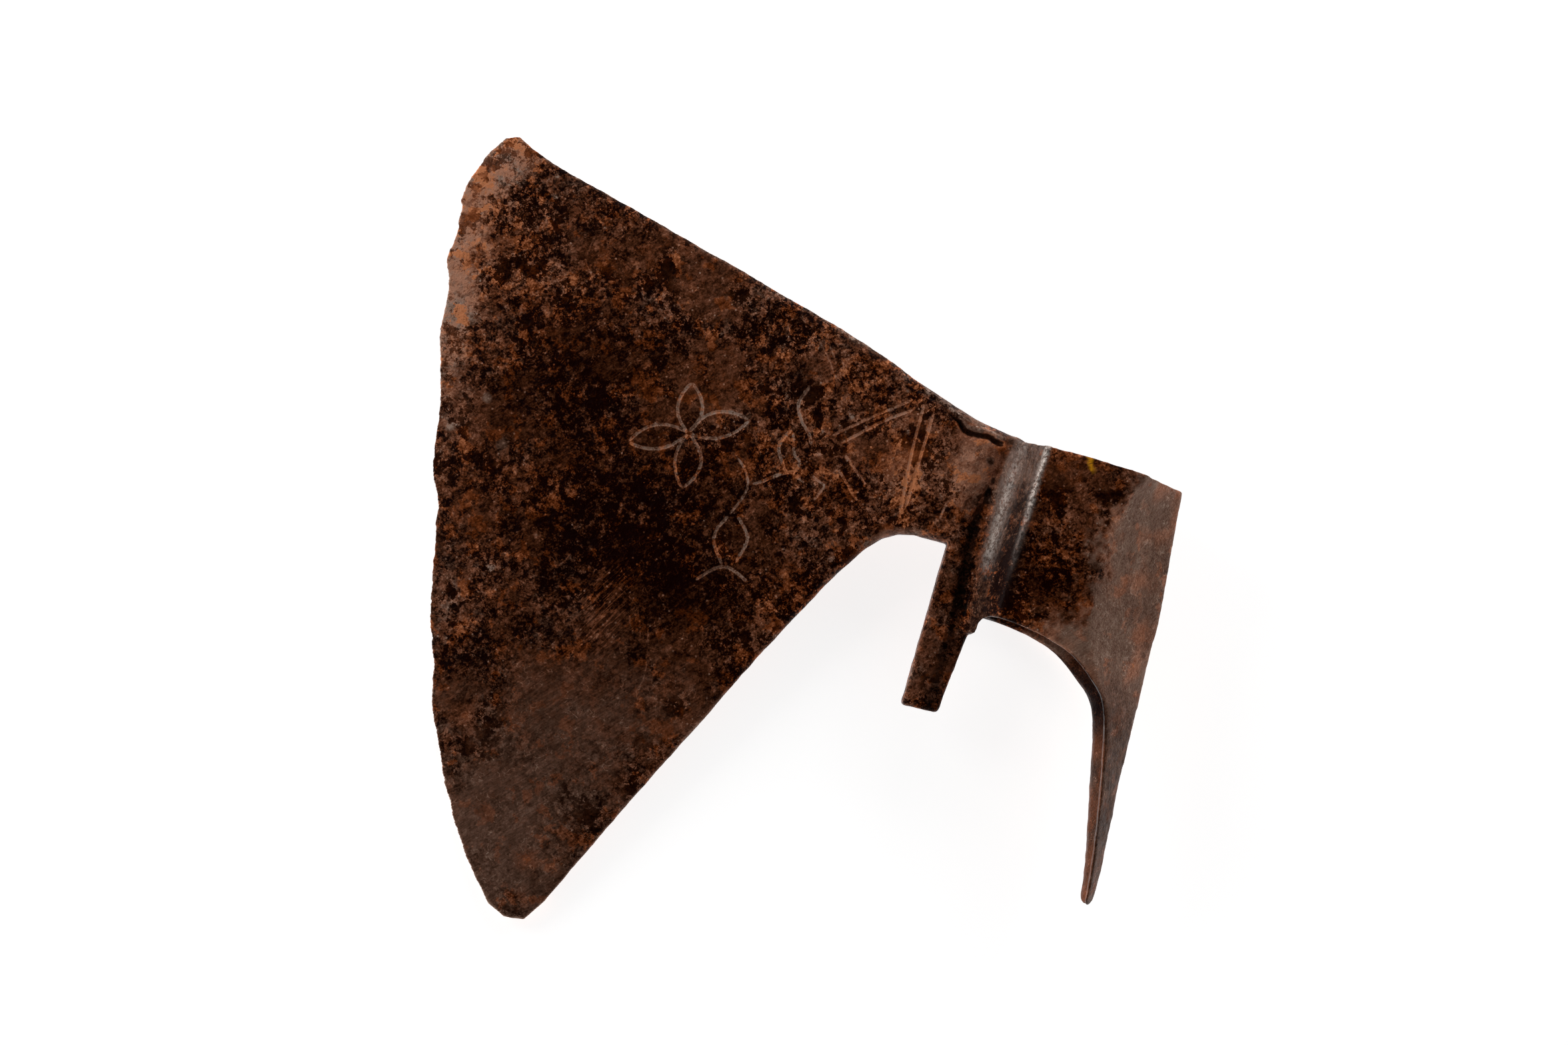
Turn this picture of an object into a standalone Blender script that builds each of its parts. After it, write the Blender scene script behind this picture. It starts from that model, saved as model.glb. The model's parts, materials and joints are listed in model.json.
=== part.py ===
"""Forged broad axe head: flared blade, neck, haft socket, front langet and V-shaped rear langet.

The head is built in its own frame, in millimetres: X runs from the cutting edge to the poll,
Y up along the haft, Z out of the decorated face. The frame's origin is on the haft's axis,
halfway up the socket. The finished head is then laid down on its side by a parent empty.
"""
import math

import bmesh
import bpy
import numpy as np
from mathutils import Matrix, Vector

MM = 0.001
HEAD = "axe_head"

# ---- blade outline
HEEL = (-187.4, -192.6)         # where the cutting edge's curve would start, below
TOE = (-247.1, 104.3)           # where it would end, above
EDGE_BULGE = 30.0               # how far the edge stands out from the straight line heel to toe
HEEL_POWER = 3.2                # how squarely the edge's curve falls away at its two ends
TOE_POWER = 7.2
EDGE_START = 5.0                # the worn corners take away this much of the curve at the heel
EDGE_END = 296.0                # and all of it past here at the toe
# dents of the worn edge: distance from the heel, half width, depth (negative stands proud)
EDGE_DENTS = (
    (94.0, 14.0, 0.9), (145.0, 20.0, 1.3), (155.5, 5.5, 1.8), (173.0, 10.0, -0.7),
    (195.0, 11.0, 1.2), (217.0, 8.0, -0.5), (236.0, 12.0, 1.9), (260.0, 12.0, 2.0),
    (288.0, 8.0, -0.4),
)
UPPER_EDGE = (                  # back of the blade, from inside the socket to the worn toe
    (-30.0, 26.8), (-48.0, 29.7), (-60.0, 33.4), (-77.0, 39.8), (-95.5, 47.8), (-132.5, 60.0),
    (-192.7, 78.3), (-230.0, 89.4), (-240.6, 93.4), (-247.3, 97.0), (-251.8, 98.7),
)
LOWER_EDGE = (                  # underside of the neck and the beard, down to the worn heel
    (-30.0, -17.2), (-57.0, -17.1), (-66.0, -16.5), (-73.5, -18.0), (-80.6, -22.4), (-88.5, -32.4),
    (-98.5, -47.9), (-126.9, -99.3), (-156.7, -154.9), (-170.3, -181.2), (-173.2, -188.2),
    (-176.6, -191.5), (-182.5, -192.2), (-188.3, -191.3),
)

# ---- blade thickness, as (fraction of the way from socket to cutting edge, millimetres)
THICKNESS = (
    (0.0, 18.5), (0.06, 18.0), (0.14, 15.0), (0.24, 10.6), (0.38, 8.0), (0.6, 6.4),
    (0.8, 5.2), (0.925, 4.0), (1.0, 0.9),
)
BLADE_ROWS = (0.0, 0.03, 0.045, 0.06, 0.078, 0.098, 0.118, 0.14, 0.163, 0.19, 0.22, 0.26, 0.31,
              0.37, 0.45, 0.55, 0.65, 0.75, 0.84, 0.9, 0.94, 0.97, 1.0)
BLADE_COLUMNS = 52
CROWN = 0.12                    # the blade is this much thinner towards its two side edges
NECK_LEAN = 0.28                # the neck is this much thicker along its top, thinner underneath
NECK_LEAN_END = 0.2             # the lean fades out this far towards the cutting edge
VALLEY_START = 0.078            # nearer the socket than this the neck dips into a valley
VALLEY_END = 0.03               # where the valley is deepest
VALLEY_DEPTH = 0.62             # the share of its thickness that the neck loses there, underneath
SIDE_CHAMFER = 2.6              # rounding along the two side edges: depth in from the edge
SIDE_RIM = 0.45                 # and what is left of the thickness at the very edge

# ---- socket and rear langet: the section across the haft
HALF_WIDTH = 24.0               # half the socket's width over its flat sides
# where the flat sides turn in towards the neck: height on the haft, X
SHOULDER = ((40.0, -26.0), (25.0, -26.8), (-12.0, -30.3), (-50.0, -31.8))
FRONT_X = -41.5                 # front of the socket, hidden in the neck
FRONT_HALF = 4.3                # half the width of that front face
# ridge of the poll and rear langet, seen from the side: height on the haft, X
POLL_RIDGE = ((40.0, 26.4), (18.0, 29.9), (0.0, 31.0), (-15.0, 32.1), (-28.0, 32.8), (-45.0, 31.6),
              (-70.0, 30.8), (-90.0, 30.0), (-125.0, 30.4), (-150.0, 29.6))
# where the two rear facets would meet the width of the socket: height on the haft, X
REAR_CORNER = ((40.0, 16.0), (22.0, 11.5), (12.5, 4.0), (-3.0, 0.8), (-22.0, 0.3), (-40.0, 3.0),
               (-61.0, 11.0), (-75.0, 13.8), (-95.0, 17.2), (-122.0, 19.0), (-150.0, 18.2))
# wall thickness: height on the haft, millimetres
WALL = ((-45.0, 4.2), (-65.0, 3.6), (-100.0, 3.0), (-150.0, 2.4))
FRONT_WALL = 4.5
CORNER_ROUND = 3.2              # rounding of the long forged corners
CORNER_STEPS = 3
TUBE_TOP = 40.0                 # the socket is lofted longer than it is and then cut to its outline
TUBE_BOTTOM = -150.0
TUBE_ROWS = 58

# ---- the socket's side outline: top rim, rear langet and the arch between the langets
TOP_RIM = ((-60.0, 26.6), (-38.0, 26.3), (-32.0, 25.5), (-24.0, 25.0), (-12.0, 24.8), (2.0, 23.8),
           (12.0, 23.1), (20.0, 22.7), (27.0, 22.4), (36.0, 22.0))
LANGET_TIP = ((40.0, -130.0), (31.0, -132.6), (29.6, -135.4), (28.4, -137.3), (27.0, -138.0),
              (25.8, -136.2))
LOWER_RIM = ((25.8, -136.2), (24.8, -122.0), (23.3, -110.5), (21.5, -97.5), (19.7, -86.0),
             (17.7, -74.5), (14.9, -64.2), (12.4, -59.9), (7.0, -54.6), (0.1, -49.0), (-5.1, -46.4),
             (-13.9, -43.6), (-24.2, -41.5), (-31.0, -40.7), (-34.6, -41.2), (-36.4, -43.6),
             (-37.1, -48.4))
FRONT_WALL_END = (-60.0, -48.4)

# ---- front langet, a tapered bar that narrows towards the haft: sizes at its top and its end
FRONT_LANGET_Y = (-8.0, -80.3)
FRONT_LANGET_FRONT = (-53.4, -57.3)
FRONT_LANGET_CREST = (-46.0, -49.0)     # where its flat sides turn in towards the haft
FRONT_LANGET_BACK = (-33.3, -43.2)
FRONT_LANGET_HALF = (6.0, 5.4)          # half widths: of the bar and of its face on the haft
FRONT_LANGET_BACK_HALF = (2.2, 3.4)
LANGET_BEVEL = 1.4

# ---- how it lies: the two places where the cutting edge touches the ground, as distances from
# the heel along the edge's chord, and the height on the haft where the socket's shoulder does
REST_UPPER = 217.0
REST_LOWER = 173.0
REST_SHOULDER = -41.0

IRON = (0.062, 0.036, 0.024)


def smooth_curve(points, samples):
    """Points evenly spaced by length along a smooth curve through the given points."""
    knots = np.array(points, dtype=float)
    steps = 12
    padded = np.vstack([2 * knots[0] - knots[1], knots, 2 * knots[-1] - knots[-2]])
    dense = []
    for before, start, end, after in zip(padded, padded[1:], padded[2:], padded[3:]):
        span = np.linalg.norm(end - start)
        leave = (end - before) * span / (span + np.linalg.norm(start - before))
        arrive = (after - start) * span / (span + np.linalg.norm(after - end))
        for t in np.arange(steps) / steps:
            dense.append((2 * t**3 - 3 * t**2 + 1) * start + (t**3 - 2 * t**2 + t) * leave
                         + (3 * t**2 - 2 * t**3) * end + (t**3 - t**2) * arrive)
    dense = np.array(dense + [knots[-1]])
    length = np.append(0.0, np.cumsum(np.linalg.norm(np.diff(dense, axis=0), axis=1)))
    wanted = np.asarray(samples) * length[-1]
    return np.column_stack([np.interp(wanted, length, dense[:, axis]) for axis in (0, 1)])


def table(rows, x):
    """Straight-line reading of a small design table of (position, value) rows, in either order."""
    positions, values = np.array(sorted(rows)).T
    return np.interp(x, positions, values)


def dent(distance, centre, half_width, depth):
    """A smooth dip of the given depth, that is nothing beyond its half width."""
    x = np.clip((distance - centre) / half_width, -1.0, 1.0)
    return depth * (1 - x * x) ** 2


def cutting_edge(distance, worn=1.0):
    """Points of the cutting edge at distances along the straight line from heel to toe."""
    heel = np.array(HEEL)
    chord = np.array(TOE) - heel
    length = np.linalg.norm(chord)
    along = chord / length
    outward = np.array((-along[1], along[0]))
    distance = np.atleast_1d(distance)
    off_centre = 2 * distance / length - 1
    power = np.where(off_centre < 0, HEEL_POWER, TOE_POWER)
    bulge = EDGE_BULGE * (1 - np.abs(off_centre) ** power)
    for centre, half_width, depth in EDGE_DENTS:
        bulge = bulge - worn * dent(distance, centre, half_width, depth)
    return heel + np.outer(distance, along) + np.outer(bulge, outward)


def link(name, mesh, collection):
    """A new object holding the mesh, in the collection."""
    item = bpy.data.objects.new(name, mesh)
    collection.objects.link(item)
    return item


def loft(name, rings, cap_strip, collection):
    """A closed skin over rings of points. cap_strip bridges an end ring's two long sides."""
    shape = bmesh.new()
    loops = [[shape.verts.new(Vector(point) * MM) for point in ring] for ring in rings]
    count = len(loops[0])
    for first, second in zip(loops, loops[1:]):
        for i in range(count):
            j = (i + 1) % count
            shape.faces.new((first[i], first[j], second[j], second[i]))
    for loop in (loops[0], loops[-1]):
        if cap_strip:
            for i in range(count // 2 - 1):
                shape.faces.new((loop[i], loop[i + 1], loop[count - 2 - i], loop[count - 1 - i]))
        else:
            shape.faces.new(loop)
    bmesh.ops.recalc_face_normals(shape, faces=shape.faces)
    mesh = bpy.data.meshes.new(name)
    shape.to_mesh(mesh)
    shape.free()
    return link(name, mesh, collection)


def prism_from_outline(name, outline, half_depth, collection):
    """A flat plate with the given outline, as thick as twice half_depth."""
    curve = bpy.data.curves.new(name + "_outline", "CURVE")
    curve.dimensions = "2D"
    curve.fill_mode = "BOTH"
    curve.extrude = half_depth * MM
    spline = curve.splines.new("POLY")
    spline.points.add(len(outline) - 1)
    for point, (x, y) in zip(spline.points, outline):
        point.co = (x * MM, y * MM, 0.0, 1.0)
    spline.use_cyclic_u = True
    sketch = link(name + "_sketch", curve, collection)
    bpy.context.view_layer.update()
    evaluated = sketch.evaluated_get(bpy.context.evaluated_depsgraph_get())
    mesh = bpy.data.meshes.new_from_object(evaluated)
    shape = bmesh.new()
    shape.from_mesh(mesh)
    bmesh.ops.remove_doubles(shape, verts=shape.verts, dist=0.001 * MM)
    bmesh.ops.recalc_face_normals(shape, faces=shape.faces)
    shape.to_mesh(mesh)
    shape.free()
    bpy.data.objects.remove(sketch)
    return link(name, mesh, collection)


def blade_and_neck(collection):
    """Rows from inside the socket out to the cutting edge, each a chord bulged towards the edge."""
    rows = np.array(BLADE_ROWS)
    toe = cutting_edge(EDGE_END)[0]
    heel = cutting_edge(EDGE_START)[0]
    upper = smooth_curve(UPPER_EDGE + (tuple(toe),), rows)
    lower = smooth_curve(LOWER_EDGE + (tuple(heel),), rows)
    rings = []
    for row, low, high in zip(rows, lower, upper):
        width = np.linalg.norm(high - low)
        rim = SIDE_CHAMFER / width
        middle = np.linspace(rim, 1 - rim, BLADE_COLUMNS)
        across = np.concatenate([[0.0, 0.35 * rim], middle, [1 - 0.35 * rim, 1.0]])
        distance = EDGE_START + across * (EDGE_END - EDGE_START)
        edge_chord = heel + np.outer(across, toe - heel)
        fresh = cutting_edge(distance, worn=0.0) - edge_chord
        worn = cutting_edge(distance, worn=1.0) - edge_chord
        wear = np.clip((row - 0.9) / 0.1, 0.0, 1.0) ** 2
        points = low + np.outer(across, high - low) + row * (fresh + wear * (worn - fresh))
        from_side = np.minimum(across, 1 - across) * width
        rounding = SIDE_RIM + (1 - SIDE_RIM) * np.sqrt(np.clip(from_side / SIDE_CHAMFER, 0.0, 1.0))
        crown = 1 - CROWN * (2 * across - 1) ** 2
        lean = 1 + NECK_LEAN * max(1 - row / NECK_LEAN_END, 0.0) * (2 * across - 1)
        dip = 1 - VALLEY_DEPTH * np.interp(row, (VALLEY_END, VALLEY_START), (1, 0)) * (1 - across**3)
        half = 0.5 * table(THICKNESS, row) * crown * lean * dip * (rounding if row < 0.99 else 1.0)
        front = np.column_stack([points, half])
        back = np.column_stack([points, -half])[::-1]
        rings.append(np.vstack([front, back]))
    return loft("blade_and_neck", rings, True, collection)


def rounded(corners, radius, steps):
    """The closed polygon with each corner replaced by an arc of the given radius."""
    result = []
    for before, corner, after in zip(np.roll(corners, 1, axis=0), corners, np.roll(corners, -1, axis=0)):
        to_before = (before - corner) / np.linalg.norm(before - corner)
        to_after = (after - corner) / np.linalg.norm(after - corner)
        half_angle = 0.5 * math.acos(float(np.clip(to_before @ to_after, -1, 1)))
        reach = min(radius / math.tan(half_angle), 0.45 * min(np.linalg.norm(before - corner),
                                                              np.linalg.norm(after - corner)))
        start = corner + reach * to_before
        end = corner + reach * to_after
        for t in np.arange(steps + 1) / steps:
            result.append((1 - t) ** 2 * start + 2 * t * (1 - t) * corner + t * t * end)
    return np.array(result)


def inset(corners, depths):
    """The polygon with each side moved inwards by its own depth; side i starts at corner i."""
    starts = corners
    ends = np.roll(corners, -1, axis=0)
    along = (ends - starts) / np.linalg.norm(ends - starts, axis=1)[:, None]
    inward = np.column_stack([-along[:, 1], along[:, 0]])
    offset = np.einsum("ij,ij->i", inward, starts) + depths
    moved = []
    for i in range(len(corners)):
        matrix = np.array([inward[i - 1], inward[i]])
        moved.append(np.linalg.solve(matrix, np.array([offset[i - 1], offset[i]])))
    return np.array(moved)


def section(height):
    """Corners of the socket's outer section (X, Z), counter-clockwise from the poll's ridge."""
    ridge = table(POLL_RIDGE, height)
    rear = table(REAR_CORNER, height)
    shoulder = table(SHOULDER, height)
    return np.array([
        (ridge, 0.0), (rear, HALF_WIDTH), (shoulder, HALF_WIDTH), (FRONT_X, FRONT_HALF),
        (FRONT_X, -FRONT_HALF), (shoulder, -HALF_WIDTH), (rear, -HALF_WIDTH),
    ])


def tube(name, inner, collection):
    """The socket's outside or its eye, lofted down the haft from above the rim to below the tip."""
    rings = []
    for height in np.linspace(TUBE_TOP, TUBE_BOTTOM, TUBE_ROWS):
        corners = section(height)
        if inner:
            wall = table(WALL, height)
            corners = inset(corners, np.array([wall, wall, wall, FRONT_WALL, wall, wall, wall]))
        outline = rounded(corners, CORNER_ROUND, CORNER_STEPS)
        rings.append([(x, height, z) for x, z in outline])
    return loft(name, rings, False, collection)


def socket_outline(collection):
    """The side view that the socket and rear langet are cut to."""
    top = smooth_curve(TOP_RIM, np.linspace(0.0, 1.0, 22))
    tip = smooth_curve(LANGET_TIP, np.linspace(0.0, 1.0, 12))
    rim = smooth_curve(LOWER_RIM, np.linspace(0.0, 1.0, 64))
    outline = np.vstack([top, tip, rim[1:], [FRONT_WALL_END]])
    return prism_from_outline("socket_outline", outline, 2 * HALF_WIDTH, collection)


def front_langet(collection):
    """A tapered six-sided bar with bevelled corners, hanging from the neck in front of the haft."""
    rings = []
    for y, front, crest, back, half, back_half in zip(
            FRONT_LANGET_Y, FRONT_LANGET_FRONT, FRONT_LANGET_CREST, FRONT_LANGET_BACK,
            FRONT_LANGET_HALF, FRONT_LANGET_BACK_HALF):
        side = [(front, half), (crest, half), (back, back_half)]
        mirrored = [(x, -z) for x, z in side[::-1]]
        rings.append([(x, y, z) for x, z in side + mirrored])
    bar = loft("front_langet", rings, False, collection)
    bevel = bar.modifiers.new("worn_corners", "BEVEL")
    bevel.width = LANGET_BEVEL * MM
    bevel.segments = 2
    return bar


def combine(item, other, operation):
    """A Boolean of the item with another object."""
    modifier = item.modifiers.new(operation.lower() + "_" + other.name, "BOOLEAN")
    modifier.operation = operation
    modifier.object = other
    modifier.solver = "EXACT"


def forged_iron():
    """Dark brown waxed iron."""
    material = bpy.data.materials.new("forged_iron")
    material.use_nodes = True
    shader = material.node_tree.nodes["Principled BSDF"]
    shader.inputs["Base Color"].default_value = (*IRON, 1.0)
    shader.inputs["Roughness"].default_value = 0.48
    shader.inputs["Metallic"].default_value = 0.55
    material.diffuse_color = (*IRON, 1.0)
    return material


def lying_rotation():
    """The turn that brings the three points it rests on to one level, decorated face up."""
    edge_half = 0.5 * table(THICKNESS, 1.0)
    upper = Vector((*cutting_edge(REST_UPPER)[0], -edge_half))
    lower = Vector((*cutting_edge(REST_LOWER)[0], -edge_half))
    shoulder = Vector((table(SHOULDER, REST_SHOULDER), REST_SHOULDER, -HALF_WIDTH))
    up = (upper - shoulder).cross(lower - shoulder).normalized()
    if up.z < 0:
        up.negate()
    along_haft = (Vector((0, 1, 0)) - up * up.y).normalized()
    to_poll = along_haft.cross(up)
    return Matrix((to_poll, along_haft, up)).to_4x4()


def main():
    for item in list(bpy.data.objects):
        bpy.data.objects.remove(item)
    scene = bpy.context.scene.collection
    parts = bpy.data.collections.new(HEAD)
    cutters = bpy.data.collections.new("cutters")
    scene.children.link(parts)
    scene.children.link(cutters)

    head = tube(HEAD, False, parts)
    tools = [socket_outline(cutters), blade_and_neck(cutters), front_langet(cutters),
             tube("eye", True, cutters)]
    for tool, operation in zip(tools, ("INTERSECT", "UNION", "UNION", "DIFFERENCE")):
        combine(head, tool, operation)
        tool.hide_render = True
        tool.display_type = "WIRE"
    head.data.materials.append(forged_iron())

    # the head lies on the ground, centred over the origin
    bpy.context.view_layer.update()
    evaluated = head.evaluated_get(bpy.context.evaluated_depsgraph_get())
    rotation = lying_rotation()
    corners = np.array([rotation @ vertex.co for vertex in evaluated.data.vertices])
    low, high = corners.min(axis=0), corners.max(axis=0)
    centre = (low + high) / 2
    lying = bpy.data.objects.new("lying", None)
    parts.objects.link(lying)
    lying.matrix_world = Matrix.Translation((-centre[0], -centre[1], -low[2])) @ rotation
    for item in [head] + tools:
        item.parent = lying


main()
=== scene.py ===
"""Looks of the forged broad axe head: its worn, pitted and engraved skin, the iron, the studio.

Lengths are millimetres in the head's own frame until a point is placed in the scene: X runs from
the cutting edge to the poll, Y up along the haft, Z out of the decorated face, and the origin is
on the haft's axis, halfway up the socket.
"""

import json
import math

import bmesh
import bpy
import numpy as np
from mathutils import Matrix, Vector, noise


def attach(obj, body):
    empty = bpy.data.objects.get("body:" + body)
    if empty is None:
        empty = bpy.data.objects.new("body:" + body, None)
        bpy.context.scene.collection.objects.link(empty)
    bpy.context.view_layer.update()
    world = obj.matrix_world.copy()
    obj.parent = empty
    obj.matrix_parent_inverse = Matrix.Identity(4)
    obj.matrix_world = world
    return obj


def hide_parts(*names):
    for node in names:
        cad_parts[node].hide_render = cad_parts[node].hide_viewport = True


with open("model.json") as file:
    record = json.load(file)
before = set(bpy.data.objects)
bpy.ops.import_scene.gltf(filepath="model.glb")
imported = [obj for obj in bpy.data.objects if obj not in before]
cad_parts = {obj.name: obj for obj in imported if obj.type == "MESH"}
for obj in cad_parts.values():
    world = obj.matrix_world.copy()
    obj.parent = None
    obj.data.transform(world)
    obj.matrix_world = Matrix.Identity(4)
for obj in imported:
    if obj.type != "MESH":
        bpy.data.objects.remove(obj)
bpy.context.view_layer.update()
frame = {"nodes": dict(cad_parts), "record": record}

MM = 0.001
CAD_NODE = "axe_head"

# ---- the visual mesh
VOXEL = 0.5                     # first even mesh, fine enough for the engraving
ROUNDING_STEPS = 6              # rounds of smoothing that take the solid's sharp creases off,
EDGE_GIVE = 0.15                # with this share of it along the thin cutting edge
RIM_STEPS = 75                  # rounds that take the voxels' steps out of the slanting rims,
LEVEL_STEPS = 60                # the first of them only across the blade's plane
RIM_X = (-30.0, -22.0)          # those rims start between these X,
RIM_DROP = (30.0, 38.0)         # and this far below the socket's middle
BULGE_STEPS = 6                 # rounds that even out what is measured as convex or hollow
TRIANGLES = 192000              # what is left after flat stretches are thinned out

# ---- where the head's frame lies in the model: the mount on the socket's upper flat side
SIDE_MOUNT = "socket_upper_side"
SIDE_MOUNT_POINT = (-14.0, -10.0, 24.0)

# ---- places on the head
EDGE_HALF_THICKNESS = 0.47      # the cutting edge's points lie within this of the blade's plane
EDGE_REGION = -170.0            # and on the cutting edge's side of this X
EDGE_LEAN = 0.3                 # the edge leans this much, so it is sorted along a leaning line
EDGE_STRIDE = 4                 # every so many of its points describe it well enough
SHOULDER_CREST = ((-26.6, 26.0), (-27.9, 12.0), (-28.6, -2.0), (-29.7, -14.0), (-31.0, -44.0))
VALLEY_RIDGE = (
    (-38.0, 26.0), (-40.2, 12.0), (-41.2, -5.0), (-41.6, -20.0), (-40.6, -31.0), (-38.8, -44.0),
)
VALLEY_FLOOR = (
    (-41.6, 18.0), (-43.2, 4.0), (-46.0, -8.0), (-45.8, -22.0), (-44.6, -40.0), (-46.2, -60.0),
    (-47.4, -79.0),
)
SHOULDER_REGION = (-58.0, -20.0)    # the crest, the ridge and the valley lie between these X
LAP_SEAM = (
    (-82.0, 38.8), (-70.0, 34.0), (-62.5, 29.5), (-60.2, 28.6), (-57.2, 25.6), (-53.0, 25.0),
    (-48.0, 25.2), (-45.0, 24.0), (-41.0, 23.4),
)
# where the smooth skin of the rear facet and the lower rim ends: height on the haft, X
PLAIN_BOUNDARY = ((26.0, 10.0), (13.0, 5.3), (4.0, 3.1), (-4.0, 0.6), (-11.0, 0.0), (-25.0, 1.6))
PLAIN_RIM = -37.5               # and below this height all of the socket's side is smooth
PLAIN_LEAN = 0.35               # that lower border climbs this much towards the poll,
PLAIN_PIVOT = -14.0             # and has its stated height at this X
PLAIN_SPREAD = 9.5              # the skin starts this far outside its borders
PLAIN_FADE = 16.0               # and takes this far to become quite smooth

# ---- relief of the skin
HAMMERING = ((0.30, 22.0, 1), (0.16, 6.0, 2))   # uneven forging: height, size, seed
PITTING = (0.12, 2.2, 3)
BEAD_HEIGHT = 0.55              # the beaded crest of the shoulder
BEAD_WIDTH = 1.1
RIDGE_HEIGHT = 0.45             # the thin ridge between shoulder and valley
RIDGE_WIDTH = 0.9
VALLEY_DEPTH = 1.3
VALLEY_WIDTH = 1.8
SEAM_DEPTH = 0.5                # the lap's seam where it is closed
SEAM_OPEN_DEPTH = 1.6           # and how much deeper it is where it gapes
SEAM_HALF_WIDTH = 0.6
SEAM_OPEN_HALF_WIDTH = 0.5
LIP_HEIGHT = 0.6                # the rolled lip above that seam
LIP_OFFSET = 1.9
LIP_WIDTH = 1.0
NICK_REACH = 5.0                # wear of the cutting edge reaches this far into the blade
NICK_SIZE = 7.0
NICK_DEPTH = 0.9
NICK_LIMITS = (-0.2, 1.2)       # least and most that the edge moves inwards
EDGE_WEAR = 0.12                # and how far it is worn everywhere

# ---- how light, how rusty and how grainy the skin is: everywhere, and what some places add
SKIN = (0.385, 0.54, 1.15)
REGION_TONES = {
    # the bevel's lightness is partly a smoother skin and partly painted light, stronger towards the top
    "upper bevel": (0.50, -0.10, -0.12),
    "lower bevel": (0.06, -0.08, 0.0),
    "socket side": (-0.02, 0.15, 0.05),
    "plain skin": (0.28, -0.49, -0.78),
    "clouded plain skin": (0.05, 0.28, 0.0),
    "rear langet": (-0.30, 0.0, -0.1),
    "poll": (-0.06, 0.25, 0.1),
    "shoulder": (0.0, -0.70, -0.45),
    "shoulder's foot": (-0.14, 0.25, 0.2),
    "speckled band": (-0.16, 0.10, 0.5),
    "front langet": (0.02, -0.10, -0.35),
    # the arch's inner side gets painted shade, fading out lower down
    "arch": (-0.45, 0.0, -0.1),
    "rear langet's inner edge": (0.0, 0.35, 0.0),
    # the rims that face up and down are lighter: partly smoother, greyer skin and partly painted light
    "upper rim": (0.10, -0.50, 0.1),
    "lower rim": (0.16, -0.35, -0.4),
}
UNDERSIDE_FLIP = -97.0          # the underside has the same tones, mirrored about half this height
UNDERSIDE_FACING = -0.3         # what faces down more than this is the underside
# patches: X, Y, radius along X, radius along Y, lightness, rustiness, grain
PATCHES = (
    # the toe, the blade's dark middle, the neck and the greyer heel; their lightness is partly the skin's
    # own tone and partly painted light falling from the left and from above
    (-262.0, 80.0, 14.0, 20.0, 0.17, 0.14, 0.15),
    (-240.0, 60.0, 26.0, 24.0, 0.06, 0.10, 0.2),
    (-203.0, 12.0, 27.0, 26.0, -0.28, 0.05, -0.2),
    (-172.0, -44.0, 38.0, 30.0, -0.37, 0.05, -0.2),
    (-142.0, -60.0, 16.0, 16.0, -0.08, -0.05, 0.0),
    (-112.0, 44.0, 24.0, 13.0, 0.13, 0.10, 0.2),
    (-95.0, 12.0, 22.0, 24.0, 0.07, 0.12, 0.1),
    (-51.0, 12.0, 10.0, 17.0, 0.50, -0.05, -0.6),
    (-168.0, -104.0, 38.0, 28.0, -0.01, -0.34, -0.6),
    (-189.0, -165.0, 42.0, 44.0, 0.07, -0.48, -0.75),
    # blooms of rust
    (-257.2, 79.0, 5.0, 7.0, 0.10, 0.40, 0.3),
    (-246.5, 93.0, 5.0, 3.0, 0.08, 0.32, 0.0),
    (-209.7, 78.6, 5.0, 2.5, 0.08, 0.24, 0.0),
    (-116.3, 50.6, 5.0, 2.5, 0.08, 0.32, 0.0),
    (-134.0, 17.0, 4.0, 4.5, 0.07, 0.24, -0.6),
    (-137.0, 4.0, 4.0, 5.0, 0.05, 0.20, -0.5),
    (-141.0, -11.0, 4.0, 4.0, 0.07, 0.24, -0.4),
    (-225.4, -91.0, 4.0, 6.0, 0.07, 0.40, 0.0),
    (-209.3, -93.0, 3.0, 5.0, 0.06, 0.40, 0.0),
    (-216.0, -122.0, 5.0, 5.0, 0.06, 0.36, 0.0),
    (-181.0, -169.0, 4.5, 4.5, 0.06, 0.48, 0.2),
    (-180.6, -183.0, 5.0, 3.0, 0.06, 0.48, 0.2),
    (-40.8, 22.3, 2.2, 1.8, 0.10, 0.64, 0.0),
    (-74.0, 6.0, 9.0, 18.0, 0.26, 0.30, 0.0),
    # black scale
    (-122.0, 31.0, 6.0, 5.5, -0.24, -0.20, -0.4),
    (-125.0, 19.0, 3.0, 4.5, -0.16, -0.20, 0.0),
    (-136.0, -1.0, 4.5, 1.8, -0.16, -0.20, 0.0),
    (-137.0, -15.0, 8.0, 3.0, -0.14, -0.20, 0.0),
    (-215.0, 69.0, 7.0, 3.0, -0.14, -0.20, 0.2),
    (-226.3, 61.0, 2.5, 5.0, -0.18, -0.20, 0.0),
    (-251.5, 89.0, 2.5, 2.0, -0.20, -0.40, 0.0),
    (-250.8, 80.0, 3.0, 2.0, -0.16, -0.40, 0.0),
    (-219.0, -107.0, 9.0, 9.0, -0.10, -0.05, 0.2),
    (-81.0, 38.0, 4.0, 2.5, -0.20, -0.30, 0.0),
    (-25.0, 9.0, 2.5, 6.0, -0.14, -0.10, 0.0),
    (-19.0, -27.0, 9.0, 7.0, -0.12, -0.05, -0.2),
    (-4.0, -30.0, 6.0, 7.0, -0.14, -0.10, 0.0),
)
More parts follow.
